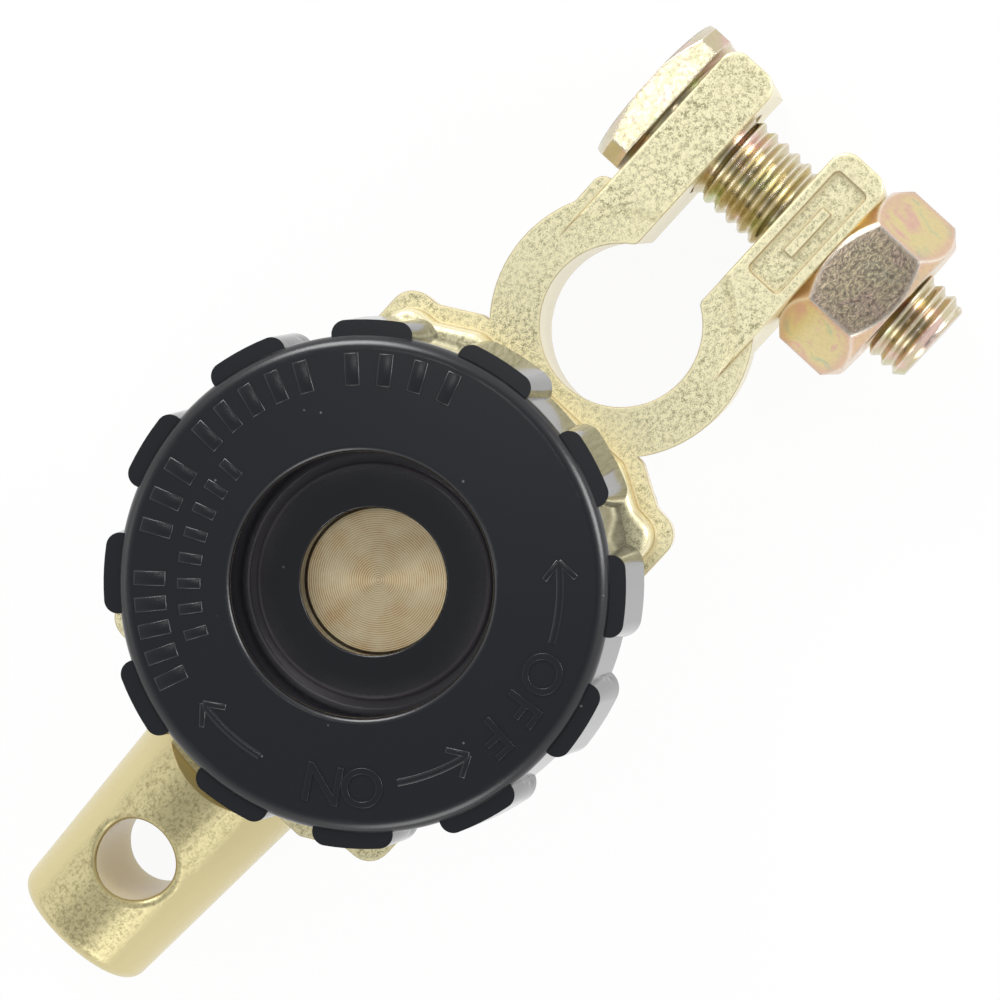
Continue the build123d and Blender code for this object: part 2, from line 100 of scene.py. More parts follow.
def linear(hex_colour: str) -> Colour:
    """Turns an sRGB hex colour into linear values.

    Args:
        hex_colour: Six hex digits.

    Returns:
        Linear red, green and blue, with an alpha of one.
    """
    parts = [int(hex_colour[i:i + 2], 16) / 255 for i in (0, 2, 4)]
    red, green, blue = (p / 12.92 if p <= 0.04045 else ((p + 0.055) / 1.055) ** 2.4 for p in parts)
    return (red, green, blue, 1.0)


def cells(size_mm: float) -> float:
    """Returns the texture scale at which one cell of a pattern measures size_mm on the object."""
    return 1.0 / (size_mm * MM)


def add_node(
    tree: bpy.types.NodeTree,
    kind: str,
    settings: dict[str, Any] | None = None,
    values: dict[str | int, Any] | None = None,
    links: dict[str | int, bpy.types.NodeSocket] | None = None,
    stops: list[tuple[float, str]] | None = None,
) -> bpy.types.Node:
    """Adds a node with its settings, constants and links.

    Args:
        tree: The node tree that takes it.
        kind: Blender's name for the node type.
        settings: Node properties by name.
        values: Constants by input socket.
        links: Output sockets to connect, by input socket.
        stops: Positions and hex colours, for a colour ramp.

    Returns:
        The new node.
    """
    node = tree.nodes.new(kind)
    for name, value in (settings or {}).items():
        setattr(node, name, value)
    for socket, value in (values or {}).items():
        node.inputs[socket].default_value = value
    for socket, source in (links or {}).items():
        tree.links.new(source, node.inputs[socket])
    if stops:
        ramp = node.color_ramp.elements
        while len(ramp) < len(stops):
            ramp.new(0.5)
        for element, (position, colour) in zip(ramp, stops):
            element.position = position
            element.color = linear(colour)
    return node


def facing(tree: bpy.types.NodeTree) -> bpy.types.NodeSocket:
    """Returns the height of the surface normal: 1 where a face looks straight up."""
    normal = add_node(tree, "ShaderNodeNewGeometry").outputs["Normal"]
    return add_node(tree, "ShaderNodeSeparateXYZ", links={0: normal}).outputs["Z"]


def edge_turn(tree: bpy.types.NodeTree, rounded: bpy.types.Node) -> bpy.types.NodeSocket:
    """Compares a rounded normal with the true one.

    Args:
        tree: The node tree.
        rounded: A bevel node.

    Returns:
        1 on open faces, and less towards the edges.
    """
    normal = add_node(tree, "ShaderNodeNewGeometry").outputs["Normal"]
    return add_node(tree, "ShaderNodeVectorMath", {"operation": "DOT_PRODUCT"},
                    links={0: rounded.outputs[0], 1: normal}).outputs["Value"]


@dataclass(frozen=True)
class Finish:
    """What every finish shares: a name and a shader to build on."""

    name: str

    def start(self) -> tuple[bpy.types.Material, bpy.types.NodeTree, bpy.types.Node, bpy.types.NodeSocket]:
        """Makes an empty material.

        Returns:
            The material, its tree, its shader and the object coordinates.
        """
        material = bpy.data.materials.new(self.name)
        material.use_nodes = True
        tree = material.node_tree
        shader = next(n for n in tree.nodes if n.type == "BSDF_PRINCIPLED")
        place = add_node(tree, "ShaderNodeTexCoord").outputs["Object"]
        return material, tree, shader, place

    def build(self) -> bpy.types.Material:
        """Makes the material."""
        return self.start()[0]


@dataclass(frozen=True)
class PlatedCasting(Finish):
    """Die-cast brass alloy, plated pale yellow.

    The mould's grit stays on the flat tops, which look sandy and speckled. The drafted sides come out smooth
    and bright. A thin brown line follows the edges, and walls that the casting's own shape encloses, as in
    holes, are painted a deeper gold as shade.
    """

    bright: str = "EBE1BA"
    top: str = "FFF7CE"
    speck: str = "7A7444"
    edge: str = "8A6428"
    # The next colour is painted shade on enclosed walls such as holes.
    hollow_shade: str = "AE8A10"
    grit_mm: float = 0.15
    pit_mm: float = 0.5
    patch_mm: float = 4.0
    rim_mm: float = 0.7
    line_mm: float = 0.25
    hollow_shade_mm: float = 8.0
    side_roughness: float = 0.26
    top_roughness: float = 0.5
    speck_share: float = 0.8
    bump: float = 0.45
    metallic: float = 0.7

    def build(self) -> bpy.types.Material:
        """Makes the material.

        Returns:
            The plated casting.
        """
        material, tree, shader, place = self.start()
        flat = add_node(tree, "ShaderNodeMapRange", {"interpolation_type": "SMOOTHSTEP"},
                        {"From Min": 0.74, "From Max": 0.87}, {"Value": facing(tree)})
        grit = add_node(tree, "ShaderNodeTexNoise", values={"Scale": cells(self.grit_mm), "Detail": 3.0,
                                                            "Roughness": 0.65}, links={"Vector": place})
        pits = add_node(tree, "ShaderNodeTexNoise", values={"Scale": cells(self.pit_mm), "Detail": 2.0},
                        links={"Vector": place})
        coarse = add_node(tree, "ShaderNodeMath", {"operation": "MULTIPLY"}, {1: 0.4}, {0: pits.outputs[0]})
        both = add_node(tree, "ShaderNodeMath", {"operation": "MULTIPLY_ADD"}, {1: 0.6},
                        {0: grit.outputs[0], 2: coarse.outputs[0]})
        speckle = add_node(tree, "ShaderNodeValToRGB", links={0: both.outputs[0]},
                           stops=[(0.39, "FFFFFF"), (0.54, "000000")])
        patch = add_node(tree, "ShaderNodeTexNoise", values={"Scale": cells(self.patch_mm), "Detail": 2.0},
                         links={"Vector": place})
        rim = add_node(tree, "ShaderNodeBevel", {"samples": 6}, {"Radius": self.rim_mm * MM})
        inside = add_node(tree, "ShaderNodeMapRange",
                          values={"From Min": 0.93, "From Max": 0.995, "To Max": self.speck_share},
                          links={"Value": edge_turn(tree, rim)})
        dense = add_node(tree, "ShaderNodeMapRange",
                         values={"From Min": 0.35, "From Max": 0.62, "To Min": 0.5},
                         links={"Value": patch.outputs[0], "To Max": inside.outputs[0]})
        fewer = add_node(tree, "ShaderNodeMath", {"operation": "MINIMUM"},
                         links={0: dense.outputs[0], 1: inside.outputs[0]})
        share = add_node(tree, "ShaderNodeMath", {"operation": "MULTIPLY"},
                         links={0: speckle.outputs[0], 1: fewer.outputs[0]})
        on_top = add_node(tree, "ShaderNodeMath", {"operation": "MULTIPLY"},
                          links={0: share.outputs[0], 1: flat.outputs[0]})
        ground = add_node(tree, "ShaderNodeMix", {"data_type": "RGBA"},
                          {6: linear(self.bright), 7: linear(self.top)}, {0: flat.outputs[0]})
        specked = add_node(tree, "ShaderNodeMix", {"data_type": "RGBA"}, {7: linear(self.speck)},
                           {0: on_top.outputs[0], 6: ground.outputs[2]})
        # A thin brown line is painted along every edge, where the rounded normal turns away from the true
        # one.
        rounded = add_node(tree, "ShaderNodeBevel", {"samples": 4}, {"Radius": self.line_mm * MM})
        line = add_node(tree, "ShaderNodeMapRange",
                        values={"From Min": 0.98, "From Max": 0.86, "To Max": 0.85},
                        links={"Value": edge_turn(tree, rounded)})
        edged = add_node(tree, "ShaderNodeMix", {"data_type": "RGBA"}, {7: linear(self.edge)},
                         {0: line.outputs[0], 6: specked.outputs[2]})
        # Painted shade: walls that the casting's own shape encloses turn a deeper gold.
        occlusion = add_node(tree, "ShaderNodeAmbientOcclusion", {"samples": 8, "only_local": True},
                            {"Distance": self.hollow_shade_mm * MM})
        upright = add_node(tree, "ShaderNodeMath", {"operation": "SUBTRACT"}, {0: 0.95}, {1: flat.outputs[0]})
        depth = add_node(tree, "ShaderNodeMapRange", values={"From Min": 0.86, "From Max": 0.42},
                         links={"Value": occlusion.outputs["AO"], "To Max": upright.outputs[0]})
        colour = add_node(tree, "ShaderNodeMix", {"data_type": "RGBA"}, {7: linear(self.hollow_shade)},
                          {0: depth.outputs[0], 6: edged.outputs[2]})
        strength = add_node(tree, "ShaderNodeMapRange", values={"To Min": 0.12, "To Max": self.bump},
                            links={"Value": flat.outputs[0]})
        relief = add_node(tree, "ShaderNodeBump", values={"Distance": RELIEF_MM * MM},
                          links={"Strength": strength.outputs[0], "Height": both.outputs[0],
                                 "Normal": rounded.outputs[0]})
        gloss = add_node(tree, "ShaderNodeMapRange",
                         values={"To Min": self.side_roughness, "To Max": self.top_roughness},
                         links={"Value": flat.outputs[0]})
        shader.inputs["Metallic"].default_value = self.metallic
        tree.links.new(colour.outputs[2], shader.inputs["Base Color"])
        tree.links.new(gloss.outputs[0], shader.inputs["Roughness"])
        tree.links.new(relief.outputs[0], shader.inputs["Normal"])
        return material


@dataclass(frozen=True)
class YellowZinc(Finish):
    """Steel with yellow chromate over zinc.

    The film shifts from straw to pink and green across each face and turns pink towards its borders. Faces
    that look upwards carry a painted reflection of the dark sky, paler and mottled brown, and a near-white
    line along the edges is partly rubbed film and partly painted highlight.
    """

    straw: str = "E4D298"
    pink: str = "E2B4A4"
    green: str = "B8C8A2"
    # The next two colours paint the dark sky's reflection on upward faces; the third is a near-white edge
    # line, partly rubbed film and partly painted highlight.
    dark_reflection: str = "6C584A"
    second_tone: str = "C6BAA6"
    rub_and_highlight: str = "FFF8EA"
    drift_mm: float = 3.2
    scuff_mm: float = 0.42
    border_mm: float = 2.6
    border_share: float = 0.9
    painted_reflection_share: float = 0.85
    crinkle: float = 0.28
    rub_and_highlight_mm: float = 0.6
    roughness: float = 0.17

    def build(self) -> bpy.types.Material:
        """Makes the material.

        Returns:
            The plated steel.
        """
        material, tree, shader, place = self.start()
        drift = add_node(tree, "ShaderNodeTexNoise",
                         values={"Scale": cells(self.drift_mm), "Detail": 3.0, "Distortion": 0.8},
                         links={"Vector": place})
        film = add_node(tree, "ShaderNodeValToRGB", links={0: drift.outputs[0]},
                        stops=[(0.36, self.pink), (0.47, self.straw), (0.58, self.straw), (0.72, self.green)])
        scuff = add_node(tree, "ShaderNodeTexNoise", values={"Scale": cells(self.scuff_mm), "Detail": 4.0,
                                                             "Roughness": 0.7}, links={"Vector": place})
        # Painted reflection: faces that look upwards turn paler, then mottled brown, as the dark sky mirrored
        # on them.
        upward_reflection = add_node(tree, "ShaderNodeMapRange",
                           values={"From Min": 0.8, "From Max": 0.98, "To Min": 0.1,
                                   "To Max": self.painted_reflection_share},
                           links={"Value": facing(tree)})
        dark_reflection_mottle = add_node(tree, "ShaderNodeMapRange", values={"From Min": 0.47, "From Max": 0.68},
                         links={"Value": scuff.outputs[0], "To Max": upward_reflection.outputs[0]})
        wide = add_node(tree, "ShaderNodeBevel", {"samples": 6}, {"Radius": self.border_mm * MM})
        border = add_node(tree, "ShaderNodeMapRange",
                          values={"From Min": 0.9995, "From Max": 0.96, "To Max": self.border_share},
                          links={"Value": edge_turn(tree, wide)})
        shifted = add_node(tree, "ShaderNodeMix", {"data_type": "RGBA"}, {7: linear(self.pink)},
                           {0: border.outputs[0], 6: film.outputs[0]})
        thin = add_node(tree, "ShaderNodeMath", {"operation": "MULTIPLY"}, {1: 0.9}, {0: upward_reflection.outputs[0]})
        pale_reflected = add_node(tree, "ShaderNodeMix", {"data_type": "RGBA"}, {7: linear(self.second_tone)},
                          {0: thin.outputs[0], 6: shifted.outputs[2]})
        reflected = add_node(tree, "ShaderNodeMix", {"data_type": "RGBA"}, {7: linear(self.dark_reflection)},
                           {0: dark_reflection_mottle.outputs[0], 6: pale_reflected.outputs[2]})
        gloss = add_node(tree, "ShaderNodeMapRange",
                         values={"To Min": self.roughness - 0.06, "To Max": self.roughness + 0.16},
                         links={"Value": scuff.outputs[0]})
        # Near-white line along the edges: partly rubbed film, partly painted highlight.
        rounded = add_node(tree, "ShaderNodeBevel", {"samples": 4}, {"Radius": self.rub_and_highlight_mm * MM})
        rub_and_highlight_mask = add_node(tree, "ShaderNodeMapRange",
                       values={"From Min": 0.99, "From Max": 0.92, "To Max": 0.95},
                       links={"Value": edge_turn(tree, rounded)})
        colour = add_node(tree, "ShaderNodeMix", {"data_type": "RGBA"}, {7: linear(self.rub_and_highlight)},
                          {0: rub_and_highlight_mask.outputs[0], 6: reflected.outputs[2]})
        relief = add_node(tree, "ShaderNodeBump",
                          values={"Strength": self.crinkle, "Distance": RELIEF_MM * MM},
                          links={"Height": scuff.outputs[0], "Normal": rounded.outputs[0]})
        shader.inputs["Metallic"].default_value = 1.0
        tree.links.new(colour.outputs[2], shader.inputs["Base Color"])
        tree.links.new(gloss.outputs[0], shader.inputs["Roughness"])
        tree.links.new(relief.outputs[0], shader.inputs["Normal"])
        return material


@dataclass(frozen=True)
class MouldedPlastic(Finish):
    """Injection-moulded black plastic: soft gloss, orange peel, specks of dust, and painted light as a paler
    grey in enclosed hollows such as the recess.
    """

    body: str = "101116"
    dust: str = "8E9090"
    # The next colour is painted light for enclosed hollows.
    painted_light_grey: str = "6E6A6E"
    peel_mm: float = 1.4
    dust_mm: float = 2.9
    painted_light_mm: float = 12.0
    roughness: float = 0.28
    side_roughness: float = 0.1
    dust_share: float = 0.35

    def build(self) -> bpy.types.Material:
        """Makes the material.

        Returns:
            The black plastic.
        """
        material, tree, shader, place = self.start()
        peel = add_node(tree, "ShaderNodeTexNoise", values={"Scale": cells(self.peel_mm), "Detail": 4.0,
                                                            "Roughness": 0.6}, links={"Vector": place})
        spots = add_node(tree, "ShaderNodeTexVoronoi", values={"Scale": cells(self.dust_mm)},
                         links={"Vector": place})
        spot = add_node(tree, "ShaderNodeMapRange", values={"From Min": 0.05, "From Max": 0.03,
                                                            "To Max": self.dust_share},
                        links={"Value": spots.outputs["Distance"]})
        colour = add_node(tree, "ShaderNodeMix", {"data_type": "RGBA"},
                          {6: linear(self.body), 7: linear(self.dust)}, {0: spot.outputs[0]})
        # Painted light: where the knob's own shape encloses a point, as in the recess, its colour turns paler
        # grey.
        occlusion = add_node(tree, "ShaderNodeAmbientOcclusion", {"samples": 8, "only_local": True},
                            {"Distance": self.painted_light_mm * MM})
        painted_light_share = add_node(tree, "ShaderNodeMapRange", values={"From Min": 0.52, "From Max": 0.28},
                           links={"Value": occlusion.outputs["AO"]})
        painted_lit = add_node(tree, "ShaderNodeMix", {"data_type": "RGBA"}, {7: linear(self.painted_light_grey)},
                         {0: painted_light_share.outputs[0], 6: colour.outputs[2]})
        gloss = add_node(tree, "ShaderNodeMapRange",
                         values={"From Min": 0.2, "From Max": 0.9, "To Min": self.side_roughness,
                                 "To Max": self.roughness},
                         links={"Value": facing(tree)})
        relief = add_node(tree, "ShaderNodeBump", values={"Strength": 0.08, "Distance": RELIEF_MM * MM},
                          links={"Height": peel.outputs[0]})
        shader.inputs["IOR"].default_value = 1.6
        tree.links.new(painted_lit.outputs[2], shader.inputs["Base Color"])
        tree.links.new(gloss.outputs[0], shader.inputs["Roughness"])
        tree.links.new(relief.outputs[0], shader.inputs["Normal"])
        return material


@dataclass(frozen=True)
class TurnedBrass(Finish):
    """Brass faced off in a lathe: fine rings round the axis, which throw light out in wedges."""

    light: str = "FFEFC6"
    dark: str = "DCAE6E"
    centre: tuple[float, float, float] = (0.0, 0.0, 0.0)
    ring_mm: float = 0.22
    blotch_mm: float = 2.5

    def build(self) -> bpy.types.Material:
        """Makes the material.

        Returns:
            The turned brass.
        """
        material, tree, shader, place = self.start()
        moved = add_node(tree, "ShaderNodeMapping", values={"Location": [-c for c in self.centre]},
                         links={"Vector": place})
        rings = add_node(tree, "ShaderNodeTexWave", {"wave_type": "RINGS", "rings_direction": "Z"},
                         {"Scale": cells(self.ring_mm) * math.tau / 20, "Distortion": 1.4, "Detail": 2.0,
                          "Detail Scale": 2.0}, {"Vector": moved.outputs[0]})
        blotch = add_node(tree, "ShaderNodeTexNoise", values={"Scale": cells(self.blotch_mm), "Detail": 3.0},
                          links={"Vector": place})
        cloud = add_node(tree, "ShaderNodeMath", {"operation": "MULTIPLY"}, {1: 0.45}, {0: blotch.outputs[0]})
        mixed = add_node(tree, "ShaderNodeMath", {"operation": "MULTIPLY_ADD"}, {1: 0.3},
                         {0: rings.outputs["Fac"], 2: cloud.outputs[0]})
        colour = add_node(tree, "ShaderNodeValToRGB", links={0: mixed.outputs[0]},
                          stops=[(0.2, self.dark), (0.44, self.light)])
        relief = add_node(tree, "ShaderNodeBump", values={"Strength": 0.2, "Distance": 0.03 * MM},
                          links={"Height": rings.outputs["Fac"]})
        around = add_node(tree, "ShaderNodeVectorMath", {"operation": "CROSS_PRODUCT"},
                          {1: (0.0, 0.0, 1.0)}, {0: moved.outputs[0]})
        shader.inputs["Metallic"].default_value = 0.45
        shader.inputs["Roughness"].default_value = 0.4
        shader.inputs["Anisotropic"].default_value = 0.9
        tree.links.new(around.outputs[0], shader.inputs["Tangent"])
        tree.links.new(colour.outputs[0], shader.inputs["Base Color"])
        tree.links.new(relief.outputs[0], shader.inputs["Normal"])
        return material


@dataclass(frozen=True)
class PlainPart(Finish):
    """A hidden part: moulded insulation or oiled spring steel, with a little unevenness."""

    body: str = "2A2622"
    second_tone: str = "3A352F"
    cloud_mm: float = 1.5
    metallic: float = 0.0
    roughness: float = 0.5

    def build(self) -> bpy.types.Material:
        """Makes the material.

        Returns:
            The plain finish.
        """
        material, tree, shader, place = self.start()
        cloud = add_node(tree, "ShaderNodeTexNoise", values={"Scale": cells(self.cloud_mm), "Detail": 3.0},
                         links={"Vector": place})
        colour = add_node(tree, "ShaderNodeValToRGB", links={0: cloud.outputs[0]},
                          stops=[(0.35, self.body), (0.65, self.second_tone)])
        shader.inputs["Metallic"].default_value = self.metallic
        shader.inputs["Roughness"].default_value = self.roughness
        tree.links.new(colour.outputs[0], shader.inputs["Base Color"])
        return material


@dataclass(frozen=True)
class PaleFloor(Finish):
    """Matt white paper that shows as white to the eye and to gloss, and keeps a soft shadow."""

    paper: str = "F4F4F4"
    glow: float = 0.94

    def build(self) -> bpy.types.Material:
        """Makes the material.

        Returns:
            The floor.
        """
        material, tree, shader, _ = self.start()
        shader.inputs["Base Color"].default_value = linear(self.paper)
        shader.inputs["Roughness"].default_value = 0.9
        shader.inputs["Specular IOR Level"].default_value = 0.0
        path = add_node(tree, "ShaderNodeLightPath")
        seen = add_node(tree, "ShaderNodeMath", {"operation": "MAXIMUM"},
                        links={0: path.outputs["Is Camera Ray"], 1: path.outputs["Is Glossy Ray"]})
        either = add_node(tree, "ShaderNodeMath", {"operation": "MAXIMUM"},
                          links={0: seen.outputs[0], 1: path.outputs["Is Transmission Ray"]})
        share = add_node(tree, "ShaderNodeMath", {"operation": "MULTIPLY"}, {1: self.glow},
                         {0: either.outputs[0]})
        white = add_node(tree, "ShaderNodeEmission", values={"Color": (1.0, 1.0, 1.0, 1.0), "Strength": 1.0})
        mix = add_node(tree, "ShaderNodeMixShader",
                       links={0: share.outputs[0], 1: shader.outputs[0], 2: white.outputs[0]})
        output = next(n for n in tree.nodes if n.type == "OUTPUT_MATERIAL")
        tree.links.new(mix.outputs[0], output.inputs["Surface"])
        return material


class Turn(Enum):
    """Which way an arrow on the knob points, seen from above."""

    CLOCKWISE = -1
    ANTICLOCKWISE = 1


def finish_piece(bm: bmesh.types.BMesh, name: str, body: str,
                 material: bpy.types.Material, smooth_deg: float = 40.0) -> bpy.types.Object:
    """Turns a bmesh into a named piece that rides on a body.

    Args:
        bm: The shape, in place and in metres. It is freed.
        name: The piece's name.
        body: The body that carries it.
        material: Its finish.
        smooth_deg: Edges flatter than this are shaded smooth.

    Returns:
        The piece.
    """
    bmesh.ops.recalc_face_normals(bm, faces=bm.faces)
    for face in bm.faces:
        face.smooth = True
    for edge in bm.edges:
        edge.smooth = len(edge.link_faces) == 2 and edge.calc_face_angle(0.0) < math.radians(smooth_deg)
    mesh = bpy.data.meshes.new(name)
    bm.to_mesh(mesh)
    bm.free()
    mesh.materials.append(material)
    piece = bpy.data.objects.new(name, mesh)
    bpy.context.scene.collection.objects.link(piece)
    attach(piece, body)
    return piece


def dress(frame: dict[str, Any], node: str, material: bpy.types.Material) -> None:
    """Gives a node of the frame its finish.

    Args:
        node: The node's name.
        material: The finish.
    """
    mesh = frame["nodes"][node].data
    mesh.materials.clear()
    mesh.materials.append(material)
    log.info("%s: %s", node, material.name)


@dataclass
class ClampBolt:
    """The clamp bolt: its head as in the frame, and a rolled thread along the whole shank."""

    axis_x: float = 19.25
    axis_z: float = 10.0
    ear_face_y: float = 10.4
    pitch: float = 1.5
    crest_r: float = 4.94
    root_r: float = 4.35
    steps_per_turn: int = 48
    end_chamfer: float = 1.0
    chamfer_slope: float = 0.75
    # The bolt's upward faces take only a faint painted reflection.
    zinc: Finish = field(default_factory=lambda: YellowZinc(
        "yellow_zinc_on_steel", straw="D2C6A4", pink="E4C4B8", green="C2D49E", drift_mm=4.0, border_share=0.0,
        painted_reflection_share=0.12, crinkle=0.05, rub_and_highlight_mm=0.3))

    def thread(self, length: float) -> bmesh.types.BMesh:
        """Sweeps one tooth up a helix, cuts it to length and chamfers the end.

        Args:
            length: Shank length in millimetres.

        Returns:
            The thread, standing on the origin along +Z.
        """
        bm = bmesh.new()
        rise = self.crest_r - self.root_r
        tooth = [(i / 8, self.root_r + rise * (0.5 - 0.5 * math.cos(math.tau * i / 8))) for i in range(9)]
        line = [bm.verts.new((r * MM, 0, (z - 2) * self.pitch * MM)) for z, r in tooth]
        edges = [bm.edges.new(pair) for pair in zip(line, line[1:])]
        turns = math.ceil(length / self.pitch) + 3
        bmesh.ops.spin(bm, geom=line + edges, cent=(0, 0, 0), axis=(0, 0, 1), angle=math.tau * turns,
                       steps=self.steps_per_turn * turns,
                       dvec=(0, 0, self.pitch * MM / self.steps_per_turn), use_merge=False)
        bmesh.ops.remove_doubles(bm, verts=bm.verts, dist=0.002 * MM)
        for height, side in ((0.0, -1), (length, 1)):
            cut = bmesh.ops.bisect_plane(bm, geom=bm.verts[:] + bm.edges[:] + bm.faces[:], dist=1e-7,
                                         plane_co=(0, 0, height * MM), plane_no=(0, 0, side),
                                         clear_outer=True)
            rim = [e for e in cut["geom_cut"] if isinstance(e, bmesh.types.BMEdge)]
            bmesh.ops.holes_fill(bm, edges=rim, sides=0)
        for vert in bm.verts:
            depth = vert.co.z / MM - (length - self.end_chamfer)
            radius = Vector((vert.co.x, vert.co.y)).length / MM
            limit = self.crest_r - max(depth, 0.0) * self.chamfer_slope
            if radius > limit:
                vert.co.x *= limit / radius
                vert.co.y *= limit / radius
        return bm

    def build(self, frame: dict[str, Any]) -> bpy.types.Object:
        """Joins the head of the frame's bolt to the thread.


        Returns:
            The bolt, in place.
        """
        low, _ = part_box("clamp_bolt")
        bm = self.thread(self.ear_face_y - low.y / MM)
        lay = Matrix.Translation((self.axis_x * MM, self.ear_face_y * MM, self.axis_z * MM))
        bmesh.ops.transform(bm, matrix=lay @ Matrix.Rotation(math.pi / 2, 4, "X"), verts=bm.verts)
        head = bmesh.new()
        head.from_mesh(frame["nodes"]["clamp_bolt"].data)
        bmesh.ops.remove_doubles(head, verts=head.verts, dist=0.002 * MM)
        cut = bmesh.ops.bisect_plane(head, geom=head.verts[:] + head.edges[:] + head.faces[:], dist=1e-7,
                                     plane_co=(0, (self.ear_face_y + 0.01) * MM, 0), plane_no=(0, -1, 0),
                                     clear_outer=True)
        rim = [e for e in cut["geom_cut"] if isinstance(e, bmesh.types.BMEdge)]
        bmesh.ops.holes_fill(head, edges=rim, sides=0)
        spare = bpy.data.meshes.new("head_copy")
        head.to_mesh(spare)
        head.free()
        bm.from_mesh(spare)
        bpy.data.meshes.remove(spare)
        piece = finish_piece(bm, "threaded_clamp_bolt", "bolt_body",
                             self.zinc.build(), smooth_deg=30)
        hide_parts("clamp_bolt")
        log.info("clamp bolt: thread of %d turns", round((self.ear_face_y - low.y / MM) / self.pitch))
        return piece


@dataclass(frozen=True)
class WordRow:
    """A moulded word, shown as a row of plain blocks: angles round the knob, and sizes in millimetres."""

    first_deg: float
    last_deg: float
    count: int
    radius: float = 20.3
    length: float = 3.2
    width: float = 1.5


@dataclass
class KnobLegends:
    """Raised legends on the knob's face: ON, OFF, arrows, and words as rows of plain blocks."""

    axis_x: float = KNOB_X
    face_z: float = 35.0
    relief: float = 0.13
    letter_height: float = 3.9
    size_per_height: float = 1.35
    letter_edge: float = 0.06
    letter_step_deg: float = 11.3
    ring_r: float = 18.9
    letters: tuple[tuple[str, float], ...] = (("ON", -142.5), ("OFF", -84.0))
    arrows: tuple[tuple[float, float, Turn], ...] = (
        (-179.0, 22.0, Turn.CLOCKWISE), (-115.7, 21.8, Turn.ANTICLOCKWISE), (-52.2, 23.0, Turn.ANTICLOCKWISE))
    words: tuple[WordRow, ...] = (
        WordRow(158.8, 131.3, 5), WordRow(117.6, 101.0, 3), WordRow(89.0, 58.3, 5), WordRow(45.0, 18.3, 4),
        WordRow(149.0, 91.6, 8, radius=16.5, length=2.4, width=1.1))

    def place(self, angle_deg: float, radius: float) -> Matrix:
        """Puts a flat mark on the face.

        Args:
            angle_deg: Angle round the knob.
            radius: Distance from its axis.

        Returns:
            A matrix whose +Y points outwards along the radius.
        """
        spin = Matrix.Rotation(math.radians(angle_deg - 90), 4, "Z")
        return Matrix.Translation((self.axis_x * MM, 0, self.face_z * MM)) @ spin @ \
            Matrix.Translation((0, radius * MM, 0))

    def letter(self, bm: bmesh.types.BMesh, text: str, angle_deg: float) -> None:
        """Adds one raised letter.

        Args:
            bm: The legend so far.
            text: The letter.
            angle_deg: Its angle round the knob.
        """
        curve = bpy.data.curves.new("letter", "FONT")
        curve.body = text
        curve.size = self.letter_height * self.size_per_height * MM
        curve.extrude = self.relief * MM
        curve.bevel_depth = self.letter_edge * MM
        curve.align_x = "CENTER"
        curve.align_y = "CENTER"
        shown = bpy.data.objects.new("letter", curve)
        bpy.context.scene.collection.objects.link(shown)
        flat = bpy.data.meshes.new_from_object(shown)
        flat.transform(self.place(angle_deg, self.ring_r))
        bm.from_mesh(flat)
        bpy.data.objects.remove(shown)
        bpy.data.meshes.remove(flat)

    def bar(self, bm: bmesh.types.BMesh, angle_deg: float, radius: float, length: float,
            width: float, lean_deg: float = 0.0) -> None:
        """Adds one raised bar with soft edges.

        Args:
            bm: The legend so far.
            angle_deg: Its angle round the knob.
            radius: Distance of its middle from the axis.
            length: Size along the radius.
            width: Size across.
            lean_deg: Turn away from the radius.
        """
        made = bmesh.ops.create_cube(bm, size=MM)
        verts = made["verts"]
        bmesh.ops.scale(bm, vec=(width, length, 2 * self.relief), verts=verts)
        edges = dict.fromkeys(e for v in verts for e in v.link_edges)
        tops = [e for e in edges if all(v.co.z > 0 for v in e.verts)]
        made = bmesh.ops.bevel(bm, geom=tops, offset=0.2 * MM, segments=3, profile=0.5, affect="EDGES",
                               material=-1)
        verts = list(dict.fromkeys([v for v in verts if v.is_valid] + made["verts"]))
        lean = Matrix.Rotation(math.radians(lean_deg), 4, "Z")
        bmesh.ops.transform(bm, matrix=self.place(angle_deg, radius) @ lean, verts=verts)

    def arc(self, bm: bmesh.types.BMesh, start_deg: float, sweep_deg: float, radius: float,
            width: float) -> None:
        """Adds a raised arc with a rounded crest.

        Args:
            bm: The legend so far.
            start_deg: Angle at its first end.
            sweep_deg: How far it runs round the knob.
            radius: Distance of its middle from the axis.
            width: Size across.
        """
        turn = Matrix.Translation((self.axis_x * MM, 0, self.face_z * MM)) @ \
            Matrix.Rotation(math.radians(start_deg), 4, "Z")
        shape = [(-0.5, -1.0), (-0.5, 0.4), (-0.3, 0.9), (0.0, 1.0), (0.3, 0.9), (0.5, 0.4), (0.5, -1.0)]
        ring = [bm.verts.new(turn @ Vector(((radius + x * width) * MM, 0, z * self.relief * MM)))
                for x, z in shape]
        face = bm.faces.new(ring)
        bmesh.ops.spin(bm, geom=[face] + ring + list(face.edges), cent=(self.axis_x * MM, 0, 0),
                       axis=(0, 0, 1), angle=math.radians(sweep_deg),
                       steps=max(3, round(abs(sweep_deg) / 2)), use_merge=False)

    def arrow(self, bm: bmesh.types.BMesh, angle_deg: float, sweep_deg: float, turn: Turn) -> None:
        """Adds a bent arrow: an arc with two slanting bars at its point.

        Args:
            bm: The legend so far.
            angle_deg: The arrow's middle.
            sweep_deg: How far it reaches round the ring.
            turn: Which way it points.
        """
        self.arc(bm, angle_deg - sweep_deg / 2, sweep_deg, self.ring_r, 0.7)
        point = angle_deg + turn.value * sweep_deg / 2
        for side in (-1, 1):
            self.bar(bm, point - turn.value * 2.0, self.ring_r + side * 0.75, 2.4, 0.7,
                     -side * turn.value * 48)

